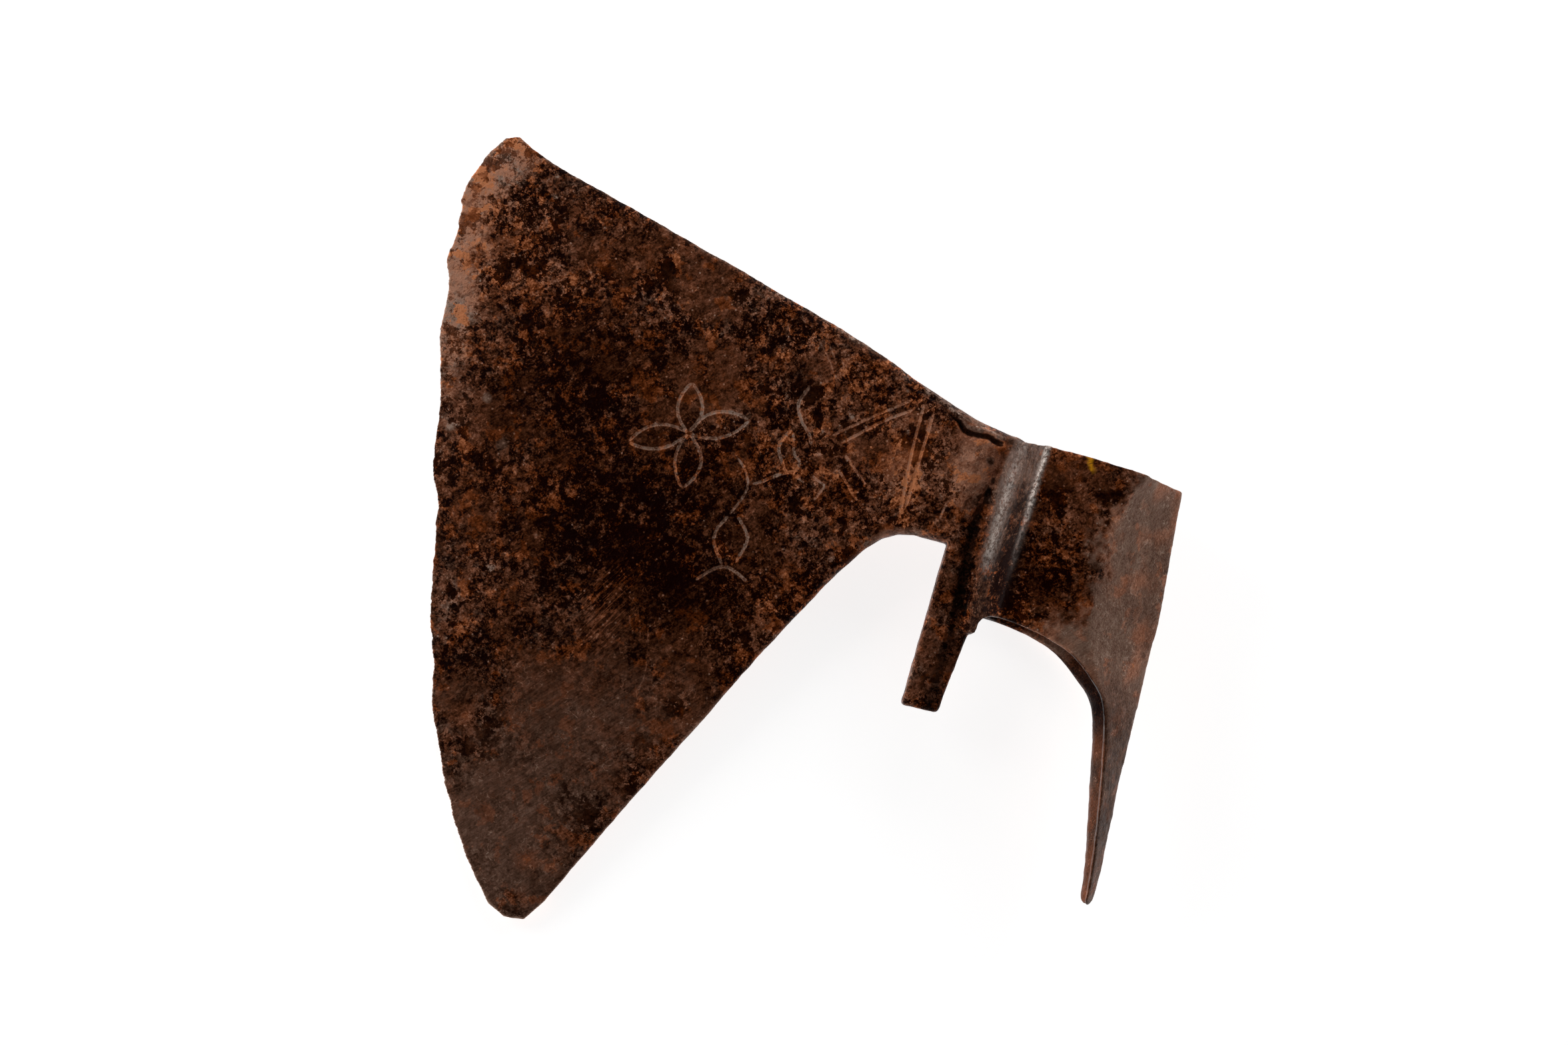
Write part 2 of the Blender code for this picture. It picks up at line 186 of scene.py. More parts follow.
# small smooth spots: X, Y, radius, lightness (the pits are dark; the light ones are partly flakes of
# scale and partly painted glints)
SPOTS_AND_GLINTS = (
    (-45.4, 16.3, 1.7, -0.5), (-36.3, 8.9, 1.4, -0.6),
    (-236.7, -2.7, 2.2, 0.28), (-248.0, -16.5, 1.8, 0.35), (-227.3, -18.5, 2.4, 0.22),
    (-220.0, -65.6, 1.6, 0.45), (-230.4, 86.2, 1.2, 0.6), (-229.1, 78.3, 1.0, 0.5),
    (-261.5, 23.6, 0.9, 0.9), (-206.5, -49.6, 0.8, 0.9), (-100.2, 21.3, 1.1, 0.7),
    (-78.2, 20.2, 0.9, 0.8), (-81.8, 35.7, 0.9, 0.7), (-109.7, 13.1, 1.2, 0.5),
    (-109.2, 4.4, 1.1, 0.6), (-106.5, 50.8, 0.9, 0.9),
)
SPOT_RUSTINESS = -0.8
SPOT_GRAIN = -0.5

# ---- camera, in the head's frame
CAMERA_PITCH = -3.3             # degrees
CAMERA_ROLL = -13.1
CAMERA_SHIFT = (118.3, -3.7)    # how far the haft's axis is right of and above the picture's middle
CAMERA_DISTANCE = 826.7
LENS = 50.0
SENSOR = 36.0

# ---- studio: metres and watts
FLOOR_SIZE = 40.0
FLOOR_GREY = 0.88
FLOOR_ROUGHNESS = 0.9
FLOOR_GLOW = 0.82
SKY_HEIGHTS = (0.1, 0.6)        # directions with less Z are bright, with more Z almost black
SKY_STRENGTHS = (1.0, 0.006)
SOFTBOXES = (                   # name, place, width and height; each one faces the origin
    ("left_softbox", (-1.0, 0.35, 0.40), (0.5, 0.8)),
    ("upper_softbox", (0.3, 1.1, 0.55), (1.2, 0.5)),
)
SOFTBOX_POWER = 3.0


def head_frame():
    """Matrix from the head's frame, in metres, to the scene."""
    mount = next(m for m in frame["record"]["mounts"] if m["name"] == SIDE_MOUNT)
    z = Vector(mount["axis"]).normalized()
    y = (Vector((0, 1, 0)) - z * z.y).normalized()
    x = y.cross(z)
    turn = Matrix((x, y, z)).transposed()
    origin = Vector(mount["pos_m"]) - turn @ (Vector(SIDE_MOUNT_POINT) * MM)
    return Matrix.Translation(origin) @ turn.to_4x4()


HEAD = head_frame()


# ------------------------------------------------------------------ curves and noise

BOW_POINTS = 24
SEED_SHIFT = 13.7               # each seed looks at the noise this far along, in units of its size


def smooth_curve(points, spacing=0.6):
    """Points along a smooth curve through the given ones, about that far apart."""
    knots = np.array(points, dtype=float)
    if len(knots) == 2:
        steps = max(int(np.linalg.norm(knots[1] - knots[0]) / spacing), 2)
        return knots[0] + np.outer(np.linspace(0, 1, steps), knots[1] - knots[0])
    padded = np.vstack([2 * knots[0] - knots[1], knots, 2 * knots[-1] - knots[-2]])
    curve = []
    for before, start, end, after in zip(padded, padded[1:], padded[2:], padded[3:]):
        leave = (end - before) / 2
        arrive = (after - start) / 2
        steps = max(int(np.linalg.norm(end - start) / spacing), 2)
        for t in np.arange(steps) / steps:
            curve.append((2 * t**3 - 3 * t**2 + 1) * start + (t**3 - 2 * t**2 + t) * leave
                         + (3 * t**2 - 2 * t**3) * end + (t**3 - t**2) * arrive)
    curve.append(knots[-1])
    return np.array(curve)


def bow(start, end, rise):
    """A line from start to end that bows out to its left by the given distance."""
    start = np.array(start, dtype=float)
    chord = np.array(end, dtype=float) - start
    left = np.array((-chord[1], chord[0])) / np.linalg.norm(chord)
    t = np.linspace(0, 1, BOW_POINTS)
    return start + np.outer(t, chord) + np.outer(4 * rise * t * (1 - t), left)


def distance_to_path(points, path):
    """For each point, how far it is from the path and how far along the path, from 0 to 1."""
    nearest = np.full(len(points), 1e9)
    along = np.zeros(len(points))
    lengths = np.linalg.norm(np.diff(path, axis=0), axis=1)
    total = lengths.sum()
    passed = 0.0
    for start, end, length in zip(path, path[1:], lengths):
        step = end - start
        t = np.clip((points - start) @ step / max(length**2, 1e-9), 0, 1)
        gap = np.linalg.norm(points - start - t[:, None] * step, axis=1)
        closer = gap < nearest
        nearest[closer] = gap[closer]
        along[closer] = (passed + t[closer] * length) / total
        passed += length
    return nearest, along


def ramp(x, start, end):
    """Smoothly from 0 at start to 1 at end."""
    t = np.clip((x - start) / (end - start), 0, 1)
    return t * t * (3 - 2 * t)


def band(x, start, full, fading, end):
    """Smoothly from 0 at start to 1 at full, and from 1 at fading back to 0 at end."""
    return ramp(x, start, full) * (1 - ramp(x, fading, end))


def bell(distance, width):
    """1 at distance 0 and near 0 beyond twice the width."""
    return np.exp(-(distance / width) ** 2)


def cloud(points, size, seed, octaves=2):
    """Smooth noise, mostly within -0.5 to 0.5, with features of about that size."""
    moved = points / size + SEED_SHIFT * seed
    return np.array([noise.fractal(p, 1.0, 2.0, octaves) for p in moved.tolist()])


# ------------------------------------------------------------------ engraving, on the upper face

QUATREFOIL = (-159.0, 1.5)
# its petals: tip, and how far each of the two sides bows out
PETALS = (
    ((-162.0, 20.5), 4.8, -4.6),
    ((-180.5, -7.0), 4.2, -4.9),
    ((-156.5, -19.5), 6.0, -3.9),
    ((-137.5, 11.5), 5.6, -4.3),
)
# lines cut with a graver: depth, and the points of a smooth curve
STEMS = (
    (0.7, ((-139.5, -3.0), (-135.5, -6.5), (-132.7, -12.0), (-133.3, -17.5), (-137.0, -25.5))),
    (1.0, ((-137.0, -25.5), (-140.2, -32.0), (-140.0, -37.0), (-135.0, -44.5))),
    (0.9, ((-133.7, -25.0), (-129.3, -29.8), (-128.0, -34.0), (-130.5, -42.5))),
    (1.0, ((-144.0, -52.5), (-138.0, -46.7), (-132.5, -44.8), (-124.2, -48.4))),
    (1.0, ((-131.0, -12.0), (-127.4, -10.0), (-121.7, -6.0), (-115.8, -3.5))),
    (0.6, ((-117.5, -4.7), (-111.8, -7.0))),
    (1.0, ((-121.0, 12.0), (-124.0, 6.5), (-124.0, 2.5), (-119.0, -5.7))),
    (0.8, ((-120.5, 11.0), (-118.2, 3.0), (-115.3, 0.2), (-116.0, -4.0))),
    (1.0, ((-118.0, 29.5), (-120.8, 22.0), (-118.4, 16.0), (-114.4, 11.5), (-112.4, 7.0))),
    (0.7, ((-109.6, -3.9), (-104.0, -6.5))),
    (0.6, ((-104.0, -6.5), (-107.0, -13.0))),
)
# straight borders across the neck and the chevrons that point at them
BORDERS = (
    (0.8, ((-74.5, 32.5), (-75.0, 14.0), (-74.2, -11.0))),
    (0.9, ((-70.2, 30.5), (-71.4, 13.0), (-72.7, -8.5))),
    (0.7, ((-106.4, 12.2), (-94.1, 21.8), (-78.0, 33.5))),
    (0.8, ((-101.8, 10.7), (-88.5, 22.0), (-77.5, 29.5))),
    (0.7, ((-99.4, 6.8), (-89.1, -2.7))),
    (0.7, ((-100.6, 1.0), (-90.8, -9.5))),
    (0.6, ((-58.0, -2.5), (-59.2, -9.0))),
    (0.4, ((-118.6, 47.0), (-113.5, 41.0), (-108.8, 33.6))),
    (0.4, ((-114.5, 46.5), (-109.5, 38.5))),
    (0.4, ((-109.2, 42.4), (-105.5, 37.0), (-100.9, 30.8))),
)
# single scratches from use
SCRATCHES = (
    ((-9.9, 14.0), (-10.2, 7.8)),
    ((-9.9, 12.0), (-6.5, 8.6)),
    ((-158.5, -66.2), (-154.2, -88.6), (-156.2, -99.8)),
    ((-211.1, 67.3), (-212.3, 59.1)),
    ((-150.5, -17.0), (-161.0, -41.5)),
    ((-149.8, -32.0), (-155.0, -42.0)),
    ((-206.7, -68.4), (-203.5, -64.6), (-196.9, -64.0)),
    ((-184.0, -61.0), (-174.0, -60.6), (-163.0, -67.0), (-158.5, -79.0)),
    ((-213.0, 58.0), (-208.0, 50.5)),
    ((-163.0, 47.0), (-152.0, 52.5)),
)
SCRATCH_STRENGTH = 0.8
RUBBED_MIDDLE = (-175.0, -70.0)     # a bundle of hairline scratches lies around here
RUBBED_RADII = (10.0, 18.0)
YELLOW_FLECK = ((-10.9, 24.6), (-10.7, 22.4), (-9.4, 20.2))
YELLOW_HALF_WIDTH = (0.45, 1.0)     # full colour within the first, none beyond the second
YELLOW_ABOVE = 20.0                 # only on the socket's flat side, which is above this Z
ENGRAVING_DEPTH = 0.34
ENGRAVING_HALF_WIDTH = 0.55
SCRATCH_DEPTH = 0.14
SCRATCH_HALF_WIDTH = 0.35
CUT_ENDS = (-0.02, 0.08)            # a cut fades in over this share of its length, and out again
CUT_REACH = 3                       # beyond so many half widths a cut has no depth


def petals():
    """The two sides of each petal, as (relative depth, path)."""
    lines = []
    for tip, left, right in PETALS:
        lines.append((1.0, bow(QUATREFOIL, tip, left)))
        lines.append((1.0, bow(QUATREFOIL, tip, right)))
    return lines


def curves(cuts):
    """Smooth curves through the points of each cut, as (relative depth, path)."""
    return [(depth, smooth_curve(points)) for depth, points in cuts]


def scratches():
    """The single scratches, as (relative depth, path)."""
    return [(SCRATCH_STRENGTH, smooth_curve(points)) for points in SCRATCHES]


def cut_depth(points, lines, half_width):
    """How deep the lines are at each point (X, Y), from 0 to 1."""
    depth = np.zeros(len(points))
    reach = CUT_REACH * half_width
    for strength, path in lines:
        low = path.min(axis=0) - reach
        high = path.max(axis=0) + reach
        near = np.nonzero(np.all((points > low) & (points < high), axis=1))[0]
        gap, along = distance_to_path(points[near], path)
        fade = ramp(along, *CUT_ENDS) * ramp(1 - along, *CUT_ENDS)
        groove = strength * fade * bell(gap, half_width)
        depth[near] = np.maximum(depth[near], groove)
    return depth


# ------------------------------------------------------------------ mesh


def even_mesh(node):
    """An even, closed mesh over the CAD node's solid, as vertices and faces in the head's frame."""
    copy = bpy.data.objects.new("even_mesh", node.data.copy())
    bpy.context.scene.collection.objects.link(copy)
    shape = bmesh.new()
    shape.from_mesh(copy.data)
    bmesh.ops.remove_doubles(shape, verts=shape.verts, dist=0.001 * MM)
    bmesh.ops.transform(shape, matrix=HEAD.inverted(), verts=shape.verts)
    shape.to_mesh(copy.data)
    shape.free()
    remesh = copy.modifiers.new("voxels", "REMESH")
    remesh.mode = "VOXEL"
    remesh.voxel_size = VOXEL * MM
    evaluated = copy.evaluated_get(bpy.context.evaluated_depsgraph_get())
    mesh = bpy.data.meshes.new_from_object(evaluated)
    bpy.data.objects.remove(copy)
    return mesh


def coordinates(mesh):
    """The mesh's points, in millimetres."""
    flat = np.empty(len(mesh.vertices) * 3)
    mesh.vertices.foreach_get("co", flat)
    return flat.reshape(-1, 3) / MM


def normals(mesh):
    """The mesh's normals at its points."""
    mesh.update()
    flat = np.empty(len(mesh.vertices) * 3)
    mesh.vertices.foreach_get("normal", flat)
    return flat.reshape(-1, 3)


def move_points(mesh, points):
    """Puts the mesh's points at these places, in millimetres."""
    mesh.vertices.foreach_set("co", (points * MM).ravel())
    mesh.update()


def neighbour_mean(points, edges):
    """The middle of each point's neighbours."""
    count = np.bincount(edges.ravel(), minlength=len(points)).astype(float)
    total = np.zeros_like(points)
    for axis in range(points.shape[1]):
        total[:, axis] = (np.bincount(edges[:, 0], points[edges[:, 1], axis], len(points))
                          + np.bincount(edges[:, 1], points[edges[:, 0], axis], len(points)))
    return total / np.maximum(count, 1)[:, None]


def mesh_edges(mesh):
    """The mesh's edges as pairs of point numbers."""
    flat = np.empty(len(mesh.edges) * 2, dtype=np.int32)
    mesh.edges.foreach_get("vertices", flat)
    return flat.reshape(-1, 2)


def cutting_edge_line():
    """The cutting edge from heel to toe: the CAD mesh has no other points so near the blade's plane."""
    inverse = HEAD.inverted()
    points = np.array([inverse @ v.co for v in frame["nodes"][CAD_NODE].data.vertices]) / MM
    thin = points[(np.abs(points[:, 2]) < EDGE_HALF_THICKNESS) & (points[:, 0] < EDGE_REGION)]
    line = np.unique(np.round(thin[:, :2], 2), axis=0)
    return line[np.argsort(line[:, 1] - EDGE_LEAN * line[:, 0])][::EDGE_STRIDE]


EDGE_LINE = cutting_edge_line()


def rounded_creases(points, edges, from_edge):
    """Rounds off the solid's creases, but hardly moves the thin cutting edge."""
    give = 0.5 * (EDGE_GIVE + (1 - EDGE_GIVE) * ramp(from_edge, 2, 7))[:, None]
    for _ in range(ROUNDING_STEPS):
        points = points + give * (neighbour_mean(points, edges) - points)
    return points


def levelled_rims(points, edges):
    """Evens out the steps that the voxels leave along the slanting rims of the arch and rear langet."""
    give = 0.5 * ramp(points[:, 0], *RIM_X) * ramp(-points[:, 1], *RIM_DROP)
    inside = give > 0
    number = np.cumsum(inside) - 1
    inner_edges = number[edges[inside[edges].all(axis=1)]]
    give = give[inside][:, None]
    picked = points[inside]
    for step in range(RIM_STEPS):
        change = give * (neighbour_mean(picked, inner_edges) - picked)
        if step < LEVEL_STEPS:
            change[:, :2] = 0
        picked += change
    points[inside] = picked
    return points


def bulge(points, facing, edges):
    """How convex the surface is at each point: positive on rims, negative in corners."""
    out = ((points - neighbour_mean(points, edges)) * facing).sum(axis=1)[:, None]
    for _ in range(BULGE_STEPS):
        out = 0.5 * out + 0.5 * neighbour_mean(out, edges)
    return out[:, 0]


def shoulder_relief(points, facing):
    """The shoulder's beaded crest, the thin ridge beside it and the valley, on both faces."""
    start, end = SHOULDER_REGION
    outer = np.abs(facing[:, 2]) > 0.2
    near = np.nonzero((points[:, 0] > start) & (points[:, 0] < end) & outer)[0]
    places = points[near, :2]
    relief = np.zeros(len(points))
    gap, along = distance_to_path(places, np.array(SHOULDER_CREST))
    beads = 1 + 1.2 * cloud(points[near], 1.6, 31, 1)
    relief[near] += BEAD_HEIGHT * beads * bell(gap, BEAD_WIDTH) * (1 - 0.8 * ramp(along, 0.45, 0.7))
    gap, along = distance_to_path(places, np.array(VALLEY_RIDGE))
    relief[near] += RIDGE_HEIGHT * bell(gap, RIDGE_WIDTH) * (1 - 0.5 * ramp(along, 0.6, 0.9))
    gap, along = distance_to_path(places, np.array(VALLEY_FLOOR))
    relief[near] -= VALLEY_DEPTH * bell(gap, VALLEY_WIDTH) * band(along, 0, 0.25, 0.45, 0.8)
    return relief


def lap_relief(points, upper_face):
    """The forge-weld lap on top of the neck: how strong its rolled lip is, and its seam's depth."""
    seam = smooth_curve(LAP_SEAM)
    gap, along = distance_to_path(points[:, :2], seam)
    above = points[:, 1] - np.interp(points[:, 0], seam[:, 0], seam[:, 1])
    ends = upper_face * ramp(along, 0, 0.12) * ramp(1 - along, 0, 0.05)
    gaping = ramp(along, 0.40, 0.60)
    half_width = SEAM_HALF_WIDTH + SEAM_OPEN_HALF_WIDTH * gaping
    groove = ends * (SEAM_DEPTH + SEAM_OPEN_DEPTH * gaping) * bell(gap, half_width)
    lip = ends * bell(above - LIP_OFFSET, LIP_WIDTH) * (gap < 5)
    return lip, groove


def edge_nicks(points, from_edge):
    """Small uneven wear along the cutting edge, as a shift inwards in the blade's own plane."""
    near = np.nonzero(from_edge < NICK_REACH)[0]
    shift = np.zeros_like(points)
    wear = NICK_DEPTH * cloud(points[near] * (0, 1, 0), NICK_SIZE, 21, 3) + EDGE_WEAR
    fade = 1 - ramp(from_edge[near], 0.5, NICK_REACH)
    shift[near, 0] = fade * np.clip(wear, *NICK_LIMITS)
    return shift


def cut_lines(points, upper_face):
    """How deep the borders, the whole engraving and the scratches are at each point, from 0 to 1."""
    places = points[:, :2]
    borders = upper_face * cut_depth(places, curves(BORDERS), ENGRAVING_HALF_WIDTH)
    ornament = upper_face * cut_depth(places, petals() + curves(STEMS), ENGRAVING_HALF_WIDTH)
    scored = upper_face * cut_depth(places, scratches(), SCRATCH_HALF_WIDTH)
    return borders, np.maximum(borders, ornament), scored


def forged_unevenness(points, facing):
    """What hammering and rust have left, as heights; the underside is a little less pitted."""
    hammered = [height * cloud(points, size, seed) for height, size, seed in HAMMERING]
    height, size, seed = PITTING
    return sum(hammered) + height * ramp(facing[:, 2], -0.3, 0.1) * cloud(points, size, seed)


def build_skin():
    """The finished skin in the head's frame, with the masks that its material reads."""
    mesh = even_mesh(frame["nodes"][CAD_NODE])
    edges = mesh_edges(mesh)
    points = coordinates(mesh)
    from_edge, _ = distance_to_path(points[:, :2], EDGE_LINE)
    points = levelled_rims(rounded_creases(points, edges, from_edge), edges)
    move_points(mesh, points)
    facing = normals(mesh)
    convex = bulge(points, facing, edges)
    upper_face = ramp(facing[:, 2], 0.5, 0.8) * (points[:, 2] > 0)
    borders, cuts, scored = cut_lines(points, upper_face)
    lip, seam = lap_relief(points, upper_face)

    height = forged_unevenness(points, facing)
    height += shoulder_relief(points, facing) + LIP_HEIGHT * lip - seam
    height -= ENGRAVING_DEPTH * cuts + SCRATCH_DEPTH * scored
    move_points(mesh, points + height[:, None] * facing + edge_nicks(points, from_edge))

    plain = plain_mask(points)
    facet, painted_highlight = shoulder_masks(points, facing)
    lightness, rustiness, grain = skin_tones(points, facing, from_edge, plain)
    masks = {
        # the rolled lip is lighter, a painted highlight, and greyer in colour
        "lightness": lightness + 0.15 * lip,
        "rustiness": rustiness - 0.7 * lip + 0.6 * borders,
        "grain": grain,
        "cut": cuts,
        "scored": scored,
        # wear on convex rims, and painted glints as light chips along the border of the plain skin
        "wear": ramp(convex, 0.012, 0.045) * (1 - 0.9 * plain) + 1.6 * plain * (1 - plain),
        # painted shade: black painted into concave places, the lap's seam and the valley by the shoulder
        "painted_shade": ramp(-convex, 0.012, 0.05) + ramp(seam, 0.3, 1.2) + valley_painted_shade(points, facing),
        "facet": facet,
        "painted_highlight": painted_highlight,
        "rubbed": rubbed_mask(points, upper_face),
        "yellow": yellow_mask(points, upper_face),
    }
    for name, values in masks.items():
        attribute = mesh.attributes.new(name, "FLOAT", "POINT")
        attribute.data.foreach_set("value", values.astype(np.float32))
    return mesh


def rubbed_mask(points, upper_face):
    """Where the bundle of hairline scratches is."""
    offsets = (points[:, :2] - RUBBED_MIDDLE) / RUBBED_RADII
    return np.exp(-(offsets ** 2).sum(axis=1)) * upper_face


def yellow_mask(points, upper_face):
    """The fleck of yellow paint by the socket's upper rim."""
    gap, _ = distance_to_path(points[:, :2], np.array(YELLOW_FLECK))
    return upper_face * (points[:, 2] > YELLOW_ABOVE) * (1 - ramp(gap, *YELLOW_HALF_WIDTH))


def plain_mask(points):
    """The smooth, evenly brown skin of the rear facets, the rear langet and the socket's lower rim."""
    x, y = points[:, 0], points[:, 1]
    ragged = 6 * cloud(points, 7.0, 41, 3) + 8 * cloud(points, 1.8, 42, 2)
    boundary = np.array(PLAIN_BOUNDARY[::-1])
    behind = x - np.interp(y, boundary[:, 0], boundary[:, 1]) + ragged + PLAIN_SPREAD
    below = PLAIN_RIM - y + PLAIN_LEAN * (x - PLAIN_PIVOT) + ragged + PLAIN_SPREAD
    # the lower border fades out towards the shoulder
    below = np.maximum(below, 0) * ((0.3 + 0.7 * ramp(x, -28, 0)) * ramp(x, -33, -27))
    return ramp(np.hypot(np.maximum(behind, 0), below), 0, PLAIN_FADE)


def valley_painted_shade(points, facing):
    """Painted shade in the hollow between the neck and the socket, running down the front langet."""
    x, y = points[:, 0], points[:, 1]
    gap, along = distance_to_path(points[:, :2], np.array(VALLEY_FLOOR))
    ragged = 1.6 * cloud(points, 3.0, 43, 3)
    width = np.interp(along, (0.0, 0.14, 0.26, 0.40, 0.55), (0.4, 0.5, 1.6, 2.2, 2.2))
    painted_shade = 1 - ramp(gap + ragged, 0.5 * width, 1.8 * width)
    painted_shade *= 1 - 0.4 * ramp(-y, 34, 50)
    # the half of the front langet that faces the haft gets painted shade, too
    floor = np.array(VALLEY_FLOOR[::-1])
    behind = ramp(x - np.interp(y, floor[:, 1], floor[:, 0]) + ragged, -1, 1)
    langet = behind * ramp(-y, 44, 52) * (x < -30)
    return np.maximum(painted_shade, 0.30 * langet) * ramp(np.abs(facing[:, 2]), 0.2, 0.5)


def shoulder_masks(points, facing):
    """The half-polished facet between valley and socket side, with a painted sheen, and the painted
    highlight streaks on it.
    """
    x, y = points[:, 0], points[:, 1]
    steep = ramp(-facing[:, 0], 0.25, 0.6) * ramp(np.abs(points[:, 2]), 4, 8)
    crest = np.array(SHOULDER_CREST[::-1])
    ridge = np.array(VALLEY_RIDGE[::-1])
    crest_x = np.interp(y, crest[:, 1], crest[:, 0])
    ridge_x = np.interp(y, ridge[:, 1], ridge[:, 0])
    across = (x - ridge_x) / (crest_x - ridge_x)    # 0 on the thin ridge, 1 on the beaded crest
    on_facet = band(across, -0.15, 0.05, 1.0, 1.15) * (steep + (across > 0.7))
    on_facet = np.clip(on_facet, 0, 1) * (np.abs(points[:, 2]) > 4)
    # a painted sheen down the facet, and painted highlights on the beaded crest
    painted_sheen = bell(across - 0.28, 0.13) * ramp(y, -30, -14) * (1 - 0.6 * ramp(y, 10, 20))
    beads = bell(across - 1.0, 0.09) * (0.15 + 0.85 * ramp(y, -10, 8)) * ramp(y, -26, -12)
    dark = band(across, 0.45, 0.65, 0.85, 0.95) * ramp(-y, -14, 0)
    # the facet's grey is partly polish and partly painted sheen, stronger higher up
    facet = on_facet * (0.05 + 0.50 * ramp(y, -30, -8)) * (1 - 0.8 * dark)
    painted_highlight = np.clip(on_facet * np.maximum(0.6 * painted_sheen, beads), 0, 1)
    return facet, painted_highlight


def regions(points, y, facing, from_edge, plain):
    """How much each point belongs to each of the regions of REGION_TONES; y is as skin_tones turns it."""
    x, down = points[:, 0], -y
    # the bevel, lighter partly by painted light
    bevel = 1 - ramp(from_edge + 9 * cloud(points, 25.0, 5), 6, 18)
    shoulder = band(x, -42, -38, -29, -25)
    # the rear langet's inner side facing the blade, where painted shade is laid
    arch = ramp(down, 36, 42) * ramp(-facing[:, 0], 0.2, 0.5) * ramp(x, -28, -20)
    return {
        "upper bevel": bevel * ramp(y, -30, 30),
        "lower bevel": bevel * ramp(down, -30, 30),
        "socket side": ramp(x, -32, -26) * (1 - plain),
        "plain skin": plain,
        "clouded plain skin": plain * 2 * cloud(points, 13.0, 45),
        "rear langet": plain * ramp(down, 45, 75),
        "poll": plain * ramp(x, 14, 30) * ramp(y, -55, -30),
        "shoulder": shoulder,
        "shoulder's foot": shoulder * ramp(down, 8, 24),
        "speckled band": band(x, -36, -33.5, -30, -28.5) * ramp(down, -16, 0),
        "front langet": ramp(down, 20, 26) * ramp(-x, 44, 47) * ramp(x, -62, -60),
        "arch": arch * (1 - ramp(down, 60, 80)),
        "rear langet's inner edge": arch * ramp(down, 60, 80),
        # rims chosen by which way they face; their added lightness is partly painted light
        "upper rim": ramp(facing[:, 1], 0.3, 0.7) * ramp(-x, 40, 50),
        "lower rim": ramp(-facing[:, 1], 0.2, 0.5) * ramp(-x, 55, 62) * ramp(facing[:, 2], 0, 0.3),
    }


def skin_tones(points, facing, from_edge, plain):
    """Lightness, rustiness and grain at each point, from the patches, the spots and the regions."""
    under = facing[:, 2] < UNDERSIDE_FACING
    x = points[:, 0]
    y = np.where(under, UNDERSIDE_FLIP - points[:, 1], points[:, 1])
    tones = np.tile(np.array(SKIN)[:, None], len(points))
    for centre_x, centre_y, radius_x, radius_y, *amounts in PATCHES:
        near = np.exp(-((x - centre_x) / radius_x) ** 2 - ((y - centre_y) / radius_y) ** 2)
        tones += np.array(amounts)[:, None] * near
    for centre_x, centre_y, radius, lightness in SPOTS_AND_GLINTS:
        gap = np.hypot(x - centre_x, y - centre_y)
        near = (1 - ramp(gap, 0.6 * radius, 1.1 * radius)) * ~under
        tones += np.array((lightness, SPOT_RUSTINESS, SPOT_GRAIN))[:, None] * near
    for name, where in regions(points, y, facing, from_edge, plain).items():
        tones += np.array(REGION_TONES[name])[:, None] * where
    return np.clip(tones, 0.02, 2.0)


def skin_object():
    """The skin as a piece in the scene, with its flat stretches thinned out and its details kept."""
    mesh = build_skin()
    piece = bpy.data.objects.new("forged_head", mesh)
    bpy.context.scene.collection.objects.link(piece)
    thin = piece.modifiers.new("thin_out", "DECIMATE")
    # the even mesh is all quads, of two triangles each
    thin.ratio = TRIANGLES / (2 * len(mesh.polygons))
    thin.use_collapse_triangulate = True
    evaluated = piece.evaluated_get(bpy.context.evaluated_depsgraph_get())
    final = bpy.data.meshes.new_from_object(evaluated)
    piece.modifiers.clear()
    piece.data = final
    final.transform(HEAD)
    final.shade_smooth()
    return piece


# ------------------------------------------------------------------ iron

ROUGHNESS = (0.30, 0.45)
METALLIC = 0.5                  # of the polished shoulder; worn rims have half of it
SPECULAR = 0.04                 # the dark skin hardly mirrors the studio
BUMP = 0.4

# colours from black scale to worn metal: of rust, of the brown patina and of greyed, rubbed skin
RUST = (
    (0.06, (0.011, 0.001, 0.0005)),
    (0.12, (0.031, 0.005, 0.001)),
    (0.22, (0.082, 0.016, 0.002)),
    (0.33, (0.150, 0.033, 0.006)),
    (0.45, (0.240, 0.058, 0.015)),
    (0.58, (0.360, 0.098, 0.032)),
    (0.76, (0.550, 0.175, 0.070)),
    (1.00, (0.910, 0.325, 0.140)),
)
BROWN = (
    (0.06, (0.011, 0.001, 0.0005)),
    (0.12, (0.027, 0.0055, 0.001)),
    (0.22, (0.062, 0.016, 0.005)),
    (0.33, (0.110, 0.034, 0.013)),
    (0.45, (0.190, 0.061, 0.027)),
    (0.58, (0.280, 0.100, 0.051)),
    (0.76, (0.440, 0.180, 0.102)),
    (1.00, (0.710, 0.330, 0.205)),
)
GREYED = (
    (0.06, (0.009, 0.001, 0.0005)),
    (0.12, (0.023, 0.006, 0.002)),
    (0.22, (0.048, 0.017, 0.009)),
    (0.33, (0.086, 0.037, 0.021)),
    (0.45, (0.140, 0.067, 0.041)),
    (0.58, (0.220, 0.110, 0.073)),
    (0.76, (0.340, 0.200, 0.140)),
    (1.00, (0.540, 0.360, 0.280)),
)
# the black of the painted shade in hollows, creases and the seam
SHADE_BLACK = (0.004, 0.0025, 0.002)
# the grey of the shoulder's polish and painted sheen, and the grey of its painted highlights
POLISH_AND_SHEEN_GREY = (0.24, 0.175, 0.15)
HIGHLIGHT_GREY = (1.0, 0.87, 0.78)
YELLOW = (1.0, 0.42, 0.015)


def set_inputs(node, values):
    """Sets the node's inputs, by name, to plain values."""
    for name, value in values.items():
        node.inputs[name].default_value = value


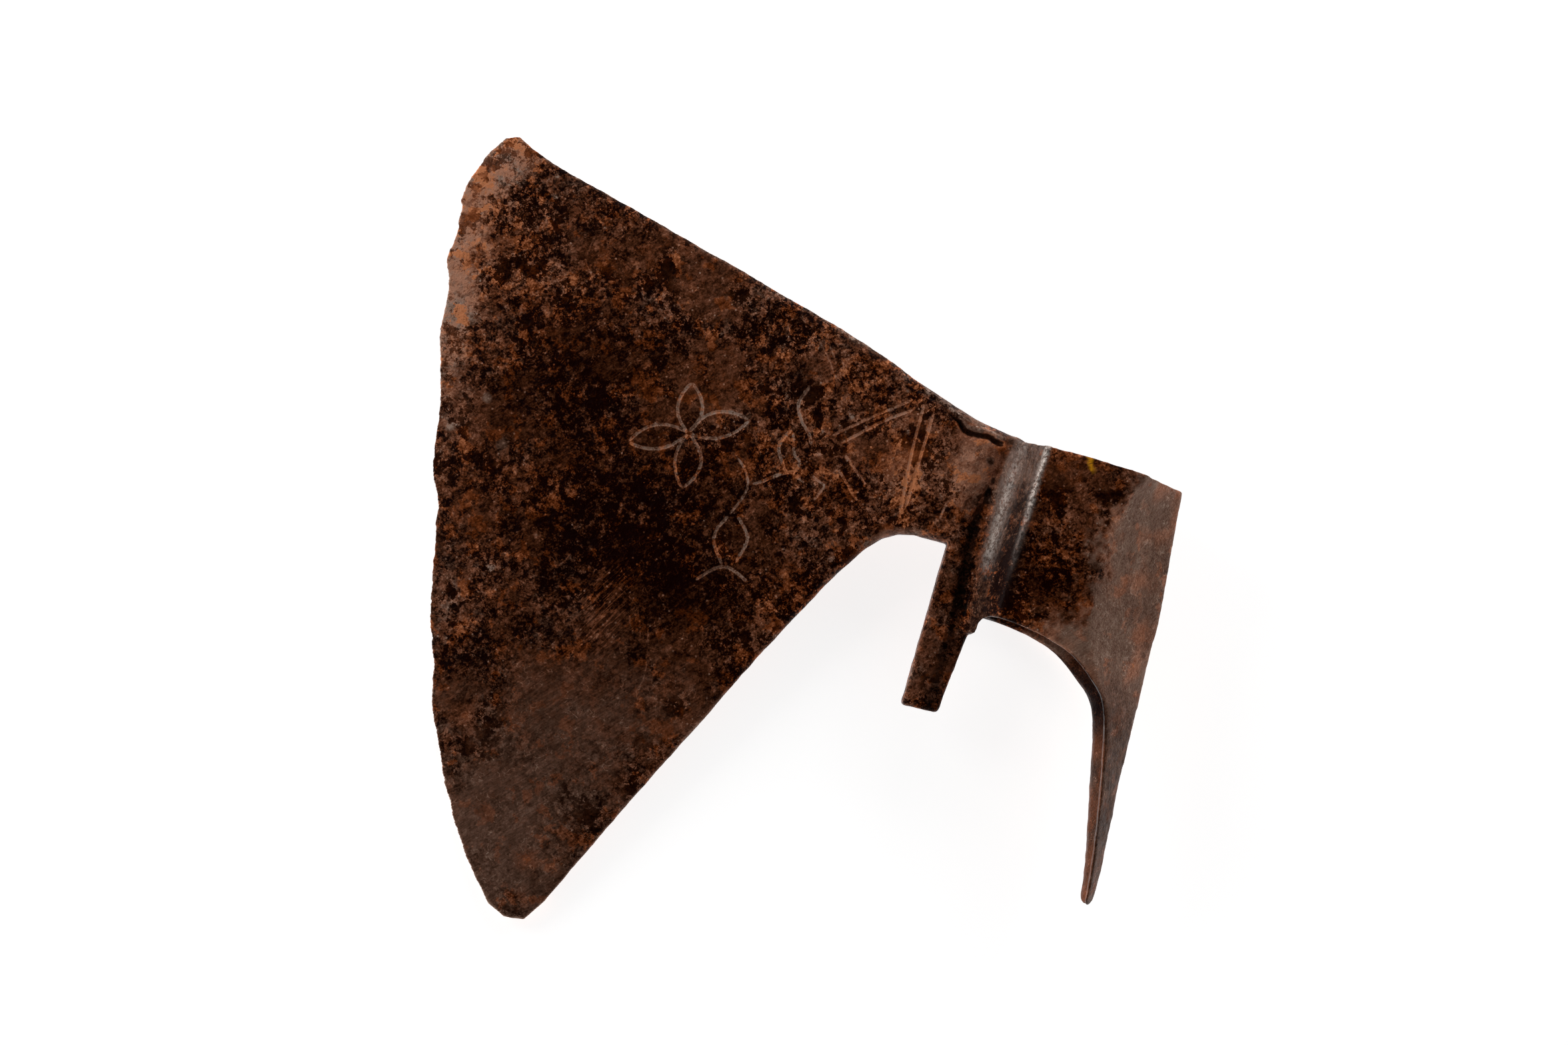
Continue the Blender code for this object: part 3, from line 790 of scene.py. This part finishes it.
class Graph:
    """Adds nodes to a material. Sizes are in millimetres, and seeds only move a pattern along."""

    SEED_STEP = (7.1, 3.7, 5.3)

    def __init__(self, material):
        material.use_nodes = True
        self.tree = material.node_tree
        self.shader = self.tree.nodes["Principled BSDF"]
        place = self.add("ShaderNodeTexCoord")
        scaled = self.add("ShaderNodeVectorMath", operation="SCALE")
        scaled.inputs["Scale"].default_value = 1 / MM
        self.tree.links.new(place.outputs["Object"], scaled.inputs[0])
        self.millimetres = scaled.outputs[0]

    def add(self, kind, **settings):
        """A new node with these settings."""
        node = self.tree.nodes.new(kind)
        for name, value in settings.items():
            setattr(node, name, value)
        return node

    def feed(self, socket, value):
        """Joins an output to a socket, or sets the socket to a plain value."""
        if isinstance(value, bpy.types.NodeSocket):
            self.tree.links.new(value, socket)
        elif isinstance(value, tuple):
            socket.default_value = (*value, 1.0)
        else:
            socket.default_value = value

    def math(self, operation, first, second):
        """The result of an operation on two outputs or numbers."""
        node = self.add("ShaderNodeMath", operation=operation)
        self.feed(node.inputs[0], first)
        self.feed(node.inputs[1], second)
        return node.outputs[0]

    def multiply(self, first, second):
        """The product of two outputs or numbers."""
        return self.math("MULTIPLY", first, second)

    def place(self, size, seed, stretch=(1, 1, 1)):
        """Coordinates in units of that size, shifted by the seed."""
        moved = self.add("ShaderNodeMapping")
        moved.inputs["Location"].default_value = tuple(seed * step for step in self.SEED_STEP)
        moved.inputs["Scale"].default_value = tuple(1 / (size * along) for along in stretch)
        self.feed(moved.inputs["Vector"], self.millimetres)
        return moved.outputs[0]

    def noise(self, size, detail, roughness, seed, stretch=(1, 1, 1)):
        """Noise from 0 to 1, mostly near 0.5."""
        node = self.add("ShaderNodeTexNoise")
        node.inputs["Scale"].default_value = 1.0
        node.inputs["Detail"].default_value = detail
        node.inputs["Roughness"].default_value = roughness
        self.feed(node.inputs["Vector"], self.place(size, seed, stretch))
        return node.outputs["Fac"]

    def centred(self, size, detail, roughness, seed):
        """Noise that varies around zero."""
        return self.math("SUBTRACT", self.noise(size, detail, roughness, seed), 0.5)

    def strokes(self, size, length, degrees, seed):
        """Noise drawn out in one direction in the model's ground plane, varying around zero."""
        along = self.add("ShaderNodeMapping", vector_type="TEXTURE")
        along.inputs["Location"].default_value = tuple(seed * step for step in self.SEED_STEP)
        along.inputs["Rotation"].default_value = (0, 0, math.radians(degrees))
        along.inputs["Scale"].default_value = (length, size, size)
        self.feed(along.inputs["Vector"], self.millimetres)
        node = self.add("ShaderNodeTexNoise")
        node.inputs["Scale"].default_value = 1.0
        self.feed(node.inputs["Vector"], along.outputs[0])
        return self.math("SUBTRACT", node.outputs["Fac"], 0.5)

    def hairlines(self, value, width):
        """Thin lines where the value passes through zero."""
        return self.span(self.math("ABSOLUTE", value, 0.0), width, 0.4 * width)

    def cells(self, size, seed, waviness=0.0):
        """Wavy cells: distances from each one's middle and edge, in sizes, and a shade for each."""
        bend = self.add("ShaderNodeTexNoise")
        bend.inputs["Scale"].default_value = 1.5
        self.feed(bend.inputs["Vector"], self.place(size, seed + 1))
        shift = self.add("ShaderNodeVectorMath", operation="SCALE")
        shift.inputs["Scale"].default_value = waviness
        self.feed(shift.inputs[0], bend.outputs["Color"])
        bent = self.add("ShaderNodeVectorMath", operation="ADD")
        self.feed(bent.inputs[0], self.place(size, seed))
        self.feed(bent.inputs[1], shift.outputs[0])
        middle = self.add("ShaderNodeTexVoronoi", feature="F1")
        edge = self.add("ShaderNodeTexVoronoi", feature="DISTANCE_TO_EDGE")
        for node in (middle, edge):
            node.inputs["Scale"].default_value = 1.0
            self.feed(node.inputs["Vector"], bent.outputs[0])
        return middle.outputs["Distance"], edge.outputs["Distance"], middle.outputs["Color"]

    def span(self, value, low, high, to_low=0.0, to_high=1.0):
        """Smoothly from to_low, where the value is low, to to_high, where it is high."""
        node = self.add("ShaderNodeMapRange", interpolation_type="SMOOTHSTEP")
        self.feed(node.inputs["Value"], value)
        set_inputs(node, {"From Min": low, "From Max": high, "To Min": to_low, "To Max": to_high})
        return node.outputs["Result"]

    def blend(self, first, second, factor):
        """The first colour where the factor is 0, the second where it is 1."""
        node = self.add("ShaderNodeMix", data_type="RGBA")
        self.feed(node.inputs["Factor"], factor)
        self.feed(node.inputs[6], first)
        self.feed(node.inputs[7], second)
        return node.outputs[2]

    def shades(self, value, stops):
        """A colour for each value, from stops of (value, colour)."""
        node = self.add("ShaderNodeValToRGB")
        ramp_points = node.color_ramp.elements
        while len(ramp_points) < len(stops):
            ramp_points.new(0.5)
        for point, (place, colour) in zip(ramp_points, stops):
            point.position = place
            point.color = (*colour, 1.0)
        self.feed(node.inputs["Fac"], value)
        return node.outputs["Color"]

    def mask(self, name):
        """A mask that build_skin has put on the mesh."""
        return self.add("ShaderNodeAttribute", attribute_name=name).outputs["Fac"]

    def total(self, *parts):
        """The sum of value times factor over the given pairs."""
        result = 0.0
        for value, factor in parts:
            result = self.math("ADD", result, self.multiply(value, factor))
        return result


class Iron(Graph):
    """Waxed wrought iron: a brown skin with lumpy black scale, blooms of rust, painted glints and worn
    lines.
    """

    def __init__(self, material):
        super().__init__(material)
        # noises by their size, from 32 mm to 0.8 mm
        self.region = self.centred(32.0, 2, 0.5, 15)
        self.broad = self.centred(14.0, 2, 0.6, 4)
        self.middling = self.centred(5.0, 2, 0.6, 3)
        self.small = self.centred(2.0, 2, 0.6, 2)
        self.fine = self.centred(0.8, 2, 0.6, 1)
        self.chips = self.noise(1.6, 3, 0.8, 5)
        self.lump, _, self.lump_shade = self.cells(3.1, 21, 1.6)
        _, self.flake_edge, self.flake_shade = self.cells(1.9, 22, 1.4)
        blotches = self.total((self.centred(9.0, 4, 0.6, 11), 1.0), (self.small, 0.2))
        self.bloom = self.span(blotches, 0.06, 0.11)
        self.lightness = self.mask("lightness")
        patchiness = self.span(self.noise(24.0, 3, 0.6, 30), 0.35, 0.65, 0.55, 1.30)
        self.grain = self.multiply(self.mask("grain"), patchiness)
        self.line = self.engraved_line()
        # wear on rims, and painted glints along the plain skin's border
        self.worn = self.multiply(self.mask("wear"), self.span(self.chips, 0.4, 0.7))
        self.painted_glint = self.painted_glints()
        bundled = self.hairlines(self.strokes(1.6, 22.0, 58, 33), 0.07)
        self.bundle = self.multiply(bundled, self.mask("rubbed"))

    def engraved_line(self):
        """The engraved lines, chipped along their length."""
        chipped = self.span(self.chips, 0.30, 0.55, 0.4, 1.0)
        return self.multiply(self.span(self.mask("cut"), 0.12, 0.50), chipped)

    def painted_glints(self):
        """Painted glints: pale specks in a few of the smallest cells, fewer where the skin is smooth."""
        distance, _, shade = self.cells(1.8, 25)
        painted_glint = self.multiply(self.span(distance, 0.28, 0.16), self.span(shade, 0.72, 0.80))
        return self.multiply(painted_glint, self.span(self.mask("grain"), 0.4, 1.1, 0.1, 1.0))

    def scratches(self):
        """The single scratches and scattered hairlines, broken up into short pieces."""
        scattered = self.span(self.middling, 0.04, 0.09)
        hairs = self.multiply(self.hairlines(self.centred(3.0, 1, 0.5, 12), 0.03), scattered)
        scratch = self.math("MAXIMUM", self.span(self.mask("scored"), 0.15, 0.7), hairs)
        return self.multiply(scratch, self.span(self.chips, 0.35, 0.6))

    def black_scale(self):
        """Black scale, in cracks between flakes and in lumps, and less of it where the skin is light."""
        beds = self.noise(13.0, 4, 0.65, 27)
        cracks = self.span(self.total((self.flake_edge, 1.0), (beds, 0.8), (self.small, 0.4)), 0.45, 0.38)
        lumps = self.total((self.centred(3.4, 3, 0.65, 9), 1.0), (self.broad, 1.1), (self.region, 0.8))
        black = self.math("MAXIMUM", cracks, self.span(lumps, 0.12, 0.17))
        black = self.multiply(black, self.span(self.grain, 0.3, 1.1))
        return self.multiply(black, self.span(self.lightness, 0.40, 0.85, 1.0, 0.65))

    def mottles(self):
        """Uneven lightness from clouds, flakes, lumps and the dark gaps around these."""
        clouds = self.total((self.region, 0.6), (self.broad, 0.5), (self.middling, 0.45),
                            (self.small, 0.65), (self.fine, 0.85), (self.bloom, 0.10))
        flakes = self.total((self.lump_shade, 0.25), (self.flake_shade, 0.35), (0.5, -0.6))
        between = self.total((self.lump, 1.0), (self.broad, 0.9), (self.middling, 0.9), (self.small, 0.5))
        gaps = self.span(between, 0.50, 0.78)
        return self.total((clouds, 1.0), (flakes, 1.0), (gaps, -0.16))

    def tone(self):
        """How light the skin is, from black scale at 0 to worn metal at 1."""
        streaks = self.strokes(0.6, 8.0, 45, 16)
        mottled = self.multiply(self.mottles(), self.grain)
        tone = self.total((self.lightness, 1.0), (mottled, 1.0), (streaks, 0.35))
        tone = self.multiply(tone, self.span(self.black_scale(), 0.0, 1.0, 1.1, 0.25))
        return self.total((tone, 1.0), (self.line, 0.60), (self.scratches(), 0.30), (self.worn, 0.3),
                          (self.painted_glint, 0.45), (self.bundle, 0.30))

    def rust(self):
        """How rusty the skin is: greyed at 0, brown at 0.5, rust at 1."""
        rust = self.total((self.centred(30.0, 2, 0.5, 17), 0.8), (self.centred(10.0, 4, 0.65, 6), 1.1),
                          (self.centred(2.6, 3, 0.8, 18), 0.9), (self.bloom, 0.8),
                          (self.flake_shade, 0.4), (0.5, -0.5))
        rust = self.total((self.mask("rustiness"), 1.0), (self.multiply(rust, self.grain), 1.0))
        return self.total((rust, 1.0), (self.line, -0.40), (self.worn, -0.4), (self.painted_glint, -0.3),
                          (self.bundle, 0.3))

    def colour(self):
        """The colour of the skin, with the polished shoulder and its painted sheen and highlights,
        painted shade in the hollows, and the yellow fleck.
        """
        tone = self.tone()
        rust = self.rust()
        greyed, brown, rusted = (self.shades(tone, stops) for stops in (GREYED, BROWN, RUST))
        colour = self.blend(greyed, brown, self.span(rust, 0.0, 0.5))
        colour = self.blend(colour, rusted, self.span(rust, 0.5, 1.0))
        brushed_sheen = self.span(self.noise(1.5, 3, 0.7, 7, (1, 3, 1)), 0.35, 0.65, 0.3, 1.0)
        # the shoulder facet's grey: partly polish, partly painted sheen
        colour = self.blend(colour, POLISH_AND_SHEEN_GREY, self.multiply(self.mask("facet"), brushed_sheen))
        beaded_highlight = self.span(self.noise(1.5, 3, 0.8, 14), 0.38, 0.60, 0.1, 0.95)
        # painted highlights on the facet and its beaded crest
        colour = self.blend(colour, HIGHLIGHT_GREY, self.multiply(self.mask("painted_highlight"), beaded_highlight))
        # painted shade: black in concave places, the lap's seam and the valley
        colour = self.blend(colour, SHADE_BLACK, self.span(self.mask("painted_shade"), 0.2, 0.9, 0.0, 0.85))
        flaked = self.span(self.chips, 0.30, 0.44)
        return self.blend(colour, YELLOW, self.multiply(self.mask("yellow"), flaked))

    def relief(self):
        """The finest unevenness, as a normal."""
        bump = self.add("ShaderNodeBump")
        set_inputs(bump, {"Strength": BUMP, "Distance": 1.0 * MM})
        height = self.total((self.middling, 0.6), (self.small, 0.8), (self.fine, 0.8))
        self.feed(bump.inputs["Height"], height)
        return bump.outputs["Normal"]


def iron_material():
    """The iron as a material, dull where it is rusty and half metallic where it is polished."""
    material = bpy.data.materials.new("forged_iron")
    iron = Iron(material)
    inputs = iron.shader.inputs
    iron.feed(inputs["Base Color"], iron.colour())
    metal = iron.math("MAXIMUM", iron.mask("facet"), iron.multiply(iron.worn, 0.5))
    iron.feed(inputs["Metallic"], iron.multiply(metal, METALLIC))
    iron.feed(inputs["Roughness"], iron.span(iron.noise(5.0, 3, 0.7, 8), 0.3, 0.7, *ROUGHNESS))
    inputs["Specular IOR Level"].default_value = SPECULAR
    iron.feed(inputs["Normal"], iron.relief())
    return material


# ------------------------------------------------------------------ studio


def place_camera():
    """The camera at the angle at which the photo sees the head's side."""
    pitch = Matrix.Rotation(math.radians(CAMERA_PITCH), 4, "X")
    roll = Matrix.Rotation(math.radians(CAMERA_ROLL), 4, "Z")
    turn = (pitch @ roll).inverted()
    offset = Vector((-CAMERA_SHIFT[0], -CAMERA_SHIFT[1], CAMERA_DISTANCE)) * MM
    data = bpy.data.cameras.new("camera")
    data.lens = LENS
    data.sensor_width = SENSOR
    camera = bpy.data.objects.new("camera", data)
    camera.matrix_world = HEAD @ turn @ Matrix.Translation(offset)
    bpy.context.scene.collection.objects.link(camera)
    bpy.context.scene.camera = camera


def softbox(name, place, size):
    """A rectangular light that faces the origin."""
    data = bpy.data.lights.new(name, "AREA")
    data.shape = "RECTANGLE"
    data.size, data.size_y = size
    data.energy = SOFTBOX_POWER
    light = bpy.data.objects.new(name, data)
    light.location = place
    light.rotation_euler = (-Vector(place)).to_track_quat("-Z", "Y").to_euler()
    bpy.context.scene.collection.objects.link(light)


def pale_floor():
    """A plain floor that glows a little, so that it stays as pale as the photo's ground."""
    bpy.ops.mesh.primitive_plane_add(size=FLOOR_SIZE)
    floor = bpy.context.object
    floor.name = "floor"
    material = bpy.data.materials.new("pale_floor")
    material.use_nodes = True
    shader = material.node_tree.nodes["Principled BSDF"]
    set_inputs(shader, {
        "Base Color": (FLOOR_GREY, FLOOR_GREY, FLOOR_GREY, 1),
        "Roughness": FLOOR_ROUGHNESS,
        "Emission Color": (1, 1, 1, 1),
        "Emission Strength": FLOOR_GLOW,
    })
    floor.data.materials.append(material)


def sky():
    """White light from all around, that fades away overhead so that the iron stays dark."""
    world = bpy.data.worlds.new("studio")
    bpy.context.scene.world = world
    world.use_nodes = True
    tree = world.node_tree
    place = tree.nodes.new("ShaderNodeTexCoord")
    split = tree.nodes.new("ShaderNodeSeparateXYZ")
    fade = tree.nodes.new("ShaderNodeMapRange")
    fade.interpolation_type = "SMOOTHSTEP"
    low, high = SKY_HEIGHTS
    bright, dim = SKY_STRENGTHS
    set_inputs(fade, {"From Min": low, "From Max": high, "To Min": bright, "To Max": dim})
    tree.links.new(place.outputs["Generated"], split.inputs[0])
    tree.links.new(split.outputs["Z"], fade.inputs["Value"])
    tree.links.new(fade.outputs["Result"], tree.nodes["Background"].inputs["Strength"])
    set_inputs(tree.nodes["Background"], {"Color": (1, 1, 1, 1)})


def studio():
    """The floor, the sky and the lights, with colours shown as they are."""
    pale_floor()
    sky()
    for name, place, size in SOFTBOXES:
        softbox(name, place, size)
    bpy.context.scene.view_settings.view_transform = "Standard"


place_camera()
head = skin_object()
head.data.materials.clear()
head.data.materials.append(iron_material())
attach(head, "root")
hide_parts(CAD_NODE)
studio()
